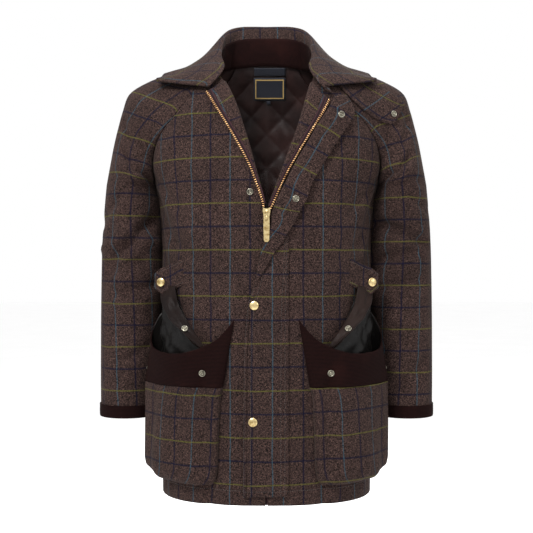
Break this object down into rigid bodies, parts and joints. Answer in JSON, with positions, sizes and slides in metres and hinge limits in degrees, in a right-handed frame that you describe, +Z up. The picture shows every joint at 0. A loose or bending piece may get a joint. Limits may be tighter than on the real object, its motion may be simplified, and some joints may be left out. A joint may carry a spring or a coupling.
{
  "type": "tweed field jacket",
  "caption": "Hip-length zip-front field jacket in checked tweed, worn open at the neck, with turned-down collar, raglan sleeves, storm flap and bellows pockets.",
  "frame": {"origin": "middle of the neck opening, level with the back neck seam, where the wearer fills and holds the jacket", "axes": "+Z up, the front faces -Y, +X towards the wearer's left arm"},
  "size_m": [0.601, 0.3072, 0.8506],
  "materials": {
    "tweed": "matt brown wool tweed with a navy, blue and olive check",
    "corduroy": "dark burgundy-brown fine corduroy",
    "quilted_lining": "dark brown satin quilted in diamonds",
    "satin": "grey-brown satin",
    "zip_tape": "purple-brown woven tape",
    "label": "navy woven label, left bare",
    "brass": "polished brass",
    "nickel": "silver-coloured snap metal"
  },
  "bodies": {
    "jacket": {"front_right": "tweed", "sleeve_right": "tweed", "front_left": "tweed", "sleeve_left": "tweed", "back": "tweed", "facing_right": "tweed", "zip_tape_right": "zip_tape", "zip_chain_right": "brass", "facing_left": "tweed", "zip_tape_left": "zip_tape", "zip_chain_left": "brass", "zip_closed": "brass", "cuff_right": "corduroy", "cuff_left": "corduroy", "storm_flap": "tweed", "collar": "tweed", "neck_band": "corduroy", "back_lining": "quilted_lining", "label": "label", "label_upper": "label", "pocket_right": "tweed", "pocket_band_right": "corduroy", "pocket_left": "tweed", "pocket_band_left": "corduroy", "pocket_flap_right": "satin", "pocket_liner_right": "satin", "pocket_flap_left": "satin", "pocket_liner_left": "satin", "waist_tab_right": "tweed", "waist_tab_left": "tweed", "throat_tab": "tweed", "cap_upper": "brass", "cap_lower": "brass", "front_stud": "nickel", "flap_socket_lower": "nickel", "flap_socket_upper": "nickel", "throat_socket": "nickel", "pocket_stud_right": "nickel", "pocket_side_stud_right": "nickel", "pocket_flap_socket_right": "nickel", "tab_cap_right": "brass", "pocket_stud_left": "nickel", "pocket_side_stud_left": "nickel", "pocket_flap_socket_left": "nickel", "tab_cap_left": "brass", "zip_slider": "brass"},
    "pull_tab": {"zip_pull": "brass"}
  },
  "joints": [
    {"name": "zip_pull_hinge", "type": "hinge", "parent": "jacket", "child": "pull_tab", "pos_m": [0, -0.15115, -0.2989], "axis": [-1, 0, 0], "range_deg": [0, 150]}
  ]
}
